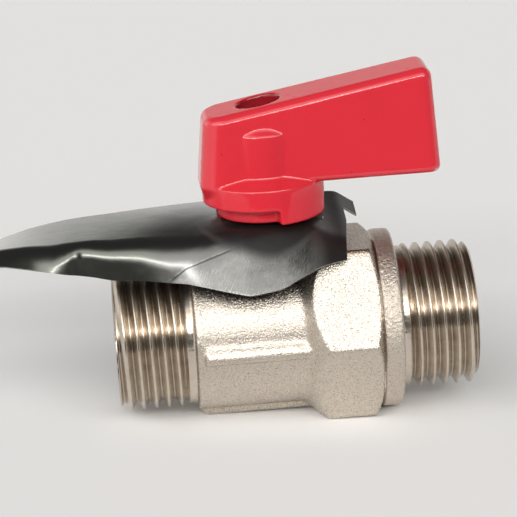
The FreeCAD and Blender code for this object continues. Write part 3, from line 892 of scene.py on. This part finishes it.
def tag_sheet(tag, lacquer, bare, dull):
    """Closed sheet before its outline and hole are cut: lacquered, with a bare rim, dull below."""
    top, normal = tag_surface(tag)
    under = top - normal * (tag.sheet / MM)
    rows, columns = top.shape[:2]
    points = np.concatenate([top.reshape(-1, 3), under.reshape(-1, 3)])
    points = points * MM + np.array([stem_x, 0, 0])
    count = rows * columns
    index = np.arange(count).reshape(rows, columns)
    corners = [index[:-1, :-1], index[1:, :-1], index[1:, 1:], index[:-1, 1:]]
    quads = np.stack(corners, axis=-1).reshape(-1, 4)
    faces = quads.tolist() + (quads[:, ::-1] + count).tolist()
    rim = np.concatenate([index[0, :], index[1:, -1], index[-1, -2::-1], index[-2:0:-1, 0]])
    around = np.roll(rim, -1)
    edge = np.stack([rim, rim + count, around + count, around], axis=-1).tolist()
    mesh = mesh_from("folded_tag", points, faces + edge)
    face_outwards(mesh)
    finishes = [lacquer, bare, dull]
    for material in finishes:
        mesh.materials.append(material)
    for polygon in mesh.polygons[len(quads):len(faces)]:
        polygon.material_index = finishes.index(dull)
    for polygon in mesh.polygons[len(faces):]:
        polygon.material_index = finishes.index(bare)
    return link_object("folded_tag", mesh)


def upright_prism(name, outline, material):
    """Prism over an outline in millimetres from the stem, tall enough to cut the tag."""
    low, high = 0.0, 30.0
    points = [(stem_x + x * MM, y * MM, z * MM) for z in (low, high) for x, y in outline]
    count = len(outline)
    sides = [[i, (i + 1) % count, (i + 1) % count + count, i + count] for i in range(count)]
    caps = [list(range(count))[::-1], list(range(count, 2 * count))]
    mesh = mesh_from(name, points, sides + caps)
    face_outwards(mesh)
    mesh.materials.append(material)
    return link_object(name, mesh)


def arc_points(centre, radius, start, end, count):
    """Points along an arc, its ends in degrees."""
    angles = np.radians(np.linspace(start, end, count))
    return [(centre[0] + radius * math.cos(a), centre[1] + radius * math.sin(a)) for a in angles]


def tag_outline():
    """Plan of the tag: a rounded end over the inlet, a slanted front edge and a curled rear corner."""
    wide = 16.0
    end_x, end_y, end_radius = TAG_END
    slant = math.tan(math.radians(TAG_EDGE_SLANT))
    curl_x, curl_y = TAG_CURL
    outline = [(curl_x, wide), (curl_x, curl_y), (TAG_EDGE, curl_y), (TAG_EDGE, 0.0)]
    outline += [(TAG_EDGE - wide * slant, -wide), (end_x, -wide)]
    outline += arc_points((end_x, end_y), end_radius, 270, 90, 25)
    return (outline + [(end_x, wide)])[::-1]


def tag_hole():
    """Round hole over the neck with the key slot for the stop lug."""
    half = TAG_KEY_HALF_ANGLE
    key = arc_points((0, 0), TAG_KEY_RADIUS, -half, half, 9)
    return key + arc_points((0, 0), TAG_HOLE_RADIUS, half, 360 - half, 65)


class VALVE_OT_tag(bpy.types.Operator):
    """Fold the black tag over the body, and cut its outline and keyed hole"""

    bl_idname = "valve.tag"
    bl_label = "Tag"

    def execute(self, context):
        look = context.scene.valve_finish
        lacquer = black_lacquer(look)
        bare = bare_sheet(look)
        dull = dull_black(look)
        piece = tag_sheet(context.scene.valve_tag, lacquer, bare, dull)
        combine(piece, upright_prism("outline", tag_outline(), bare), "INTERSECT")
        combine(piece, upright_prism("hole", tag_hole(), dull), "DIFFERENCE")
        smooth_with_edges(piece.data, angle=40)
        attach(piece, "body")
        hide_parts("tag_plate")
        return {"FINISHED"}


ZINC = (0.52, 0.51, 0.48)
CHROME = (0.70, 0.70, 0.70)
BRASS = (0.72, 0.50, 0.22)
WHITE_PLASTIC = (0.80, 0.80, 0.77)
BLACK_RUBBER = (0.022, 0.022, 0.022)


def dress(node, material):
    """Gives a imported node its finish."""
    piece = frame["nodes"][node]
    piece.data.materials.clear()
    piece.data.materials.append(material)
    return piece


class VALVE_OT_lever(bpy.types.Operator):
    """Round and paint the lever, and finish its screw and washer"""

    bl_idname = "valve.lever"
    bl_label = "Lever"

    def execute(self, context):
        forging = context.scene.valve_forging
        handle = dress("handle", red_enamel(context.scene.valve_finish))
        add_rounding(handle, forging.handle_cell, forging.handle_passes)
        zinc = plain_metal("zinc_steel", ZINC, roughness=0.28, line_axis=2)
        dress("handle_screw", zinc)
        dress("lock_washer", zinc)
        return {"FINISHED"}


class VALVE_OT_inner_parts(bpy.types.Operator):
    """Finish the ball, the stem, the seats and the seals inside"""

    bl_idname = "valve.inner_parts"
    bl_label = "Inner parts"

    def execute(self, context):
        polished = plain_metal("ball_chrome", CHROME, roughness=0.08, line_axis=0)
        dress("ball", polished)
        turned = plain_metal("stem_brass", BRASS, roughness=0.22, line_axis=2)
        dress("stem", turned)
        plastic = moulded("seat_plastic", WHITE_PLASTIC, roughness=0.4)
        for node in ("inlet_seat", "outlet_seat", "thrust_washer"):
            dress(node, plastic)
        rubber = moulded("seal_rubber", BLACK_RUBBER, roughness=0.5)
        for node in ("body_o_ring", "lower_o_ring", "upper_o_ring"):
            dress(node, rubber)
        return {"FINISHED"}


# Camera in millimetres and degrees; the floor's two supports as places along the pipe and up.
CAMERA_PLACE = (-6.049, -389.799, 127.239)
CAMERA_TARGET = (21.545, 2.905, 9.435)
CAMERA_ROLL = -3.517
FLOOR_UNDER_PAD = (12.4, -11.8)
FLOOR_UNDER_RING = (38.1, -12.87)
FLOOR_HALF_WIDTH = 4.0
LAMP_COLOUR = (1.0, 0.985, 0.96, 1.0)
WALL_COLOUR = (0.96, 0.955, 0.945, 1.0)
WALL_LEVEL = 0.84
ROOM_LEVEL = 0.11
BEHIND_LEVEL = 0.8
LEFT_LEVEL = 0.7
RIGHT_LEVEL = 0.12


def studio_camera(stage):
    """Long lens in front, a little above the valve."""
    data = bpy.data.cameras.new("camera")
    data.sensor_width = 36.0
    data.lens = stage.lens
    data.clip_start = 0.02
    camera = link_object("camera", data)
    place = Vector(CAMERA_PLACE) * MM
    ahead = (Vector(CAMERA_TARGET) * MM - place).normalized()
    turn = ahead.to_track_quat("-Z", "Y") @ Quaternion((0, 0, 1), math.radians(CAMERA_ROLL))
    camera.location = place
    camera.rotation_euler = turn.to_euler()
    bpy.context.scene.camera = camera


def studio_floor(stage):
    """Pale floor, tilted so that the foot pad and the flange ring rest on it."""
    half = FLOOR_HALF_WIDTH
    edge = -stage.front_edge
    corners = [(-half, edge, 0), (half, edge, 0), (half, half, 0), (-half, half, 0)]
    mesh = mesh_from("floor", corners, [[0, 1, 2, 3]])
    floor = link_object("floor", mesh)
    run = FLOOR_UNDER_RING[0] - FLOOR_UNDER_PAD[0]
    fall = FLOOR_UNDER_PAD[1] - FLOOR_UNDER_RING[1]
    floor.rotation_euler = (0, math.atan2(fall, run), 0)
    floor.location = (FLOOR_UNDER_PAD[0] * MM, 0, FLOOR_UNDER_PAD[1] * MM)
    material, g = new_finish("pale_floor")
    mottle = g.noise(g.place(), size=30.0, detail=3.0)
    tone = g.mix(mottle * 0.03, stage.floor, shade(stage.floor, 0.9))
    matt = g.node("ShaderNodeBsdfDiffuse", None, {"Color": tone})
    g.node("ShaderNodeOutputMaterial", None, {"Surface": matt})
    mesh.materials.append(material)


def studio_light(stage):
    """Large soft light in front, dim overhead, a pale wall behind and weaker walls at the sides."""
    world = bpy.data.worlds.new("studio")
    bpy.context.scene.world = world
    world.use_nodes = True
    g = Graph(world.node_tree)
    x, y, z = g.split(g.node("ShaderNodeTexCoord", output="Generated"))
    front = g.step(0 - y - x * 0.3, 0.2, 0.5)
    box = front * g.step(z, 0.24, 0.36) * (1 - g.step(z, 0.72, 0.93))
    lamp_core = g.step(0 - y, 0.6, 0.75) * g.band(z, 0.44, 0.05)
    behind = g.step(y, 0.1, 0.5) * (1 - g.step(z, 0.28, 0.66))
    left = g.step(0 - x, 0.55, 0.85) * (1 - g.step(z, 0.5, 0.8))
    right = g.step(x, 0.6, 0.9) * (1 - g.step(z, 0.4, 0.7))
    lights = ROOM_LEVEL + box * stage.softbox + lamp_core * stage.core
    level = lights + behind * BEHIND_LEVEL + left * LEFT_LEVEL + right * RIGHT_LEVEL
    seen = g.node("ShaderNodeLightPath", output="Is Camera Ray")
    lamp = g.node("ShaderNodeBackground", None, {"Color": LAMP_COLOUR, "Strength": level})
    wall = g.node("ShaderNodeBackground", None, {"Color": WALL_COLOUR, "Strength": WALL_LEVEL})
    shader = g.node("ShaderNodeMixShader", None, {0: seen, 1: lamp, 2: wall})
    g.node("ShaderNodeOutputWorld", None, {"Surface": shader})


class VALVE_OT_stage(bpy.types.Operator):
    """Set up the pale floor, the soft light and the camera"""

    bl_idname = "valve.stage"
    bl_label = "Stage"

    def execute(self, context):
        stage = context.scene.valve_stage
        context.scene.view_settings.view_transform = "Standard"
        studio_camera(stage)
        studio_floor(stage)
        studio_light(stage)
        return {"FINISHED"}


OPERATORS = (
    VALVE_OT_body,
    VALVE_OT_adapter,
    VALVE_OT_tag,
    VALVE_OT_lever,
    VALVE_OT_inner_parts,
    VALVE_OT_stage,
)


class VALVE_PT_sidebar(bpy.types.Panel):
    """The valve's pieces and stage, in the order they are made"""

    bl_idname = "VALVE_PT_sidebar"
    bl_label = "Isolating valve"
    bl_space_type = "VIEW_3D"
    bl_region_type = "UI"
    bl_category = "Valve"

    def draw(self, context):
        for operator in OPERATORS:
            self.layout.operator(operator.bl_idname)
        for name in SETTINGS:
            group = getattr(context.scene, name)
            for key in group.bl_rna.properties.keys():
                if key not in ("rna_type", "name"):
                    self.layout.prop(group, key)


SETTINGS = {
    "valve_thread": ThreadSettings,
    "valve_forging": ForgingSettings,
    "valve_tag": TagSettings,
    "valve_finish": FinishSettings,
    "valve_stage": StageSettings,
}


def register():
    for name, group in SETTINGS.items():
        bpy.utils.register_class(group)
        setattr(bpy.types.Scene, name, PointerProperty(type=group))
    for item in (*OPERATORS, VALVE_PT_sidebar):
        bpy.utils.register_class(item)


def unregister():
    for item in (VALVE_PT_sidebar, *reversed(OPERATORS)):
        bpy.utils.unregister_class(item)
    for name, group in SETTINGS.items():
        delattr(bpy.types.Scene, name)
        bpy.utils.unregister_class(group)


def main():
    register()
    bpy.ops.valve.body()
    bpy.ops.valve.adapter()
    bpy.ops.valve.tag()
    bpy.ops.valve.lever()
    bpy.ops.valve.inner_parts()
    bpy.ops.valve.stage()


if __name__ == "__main__":
    main()
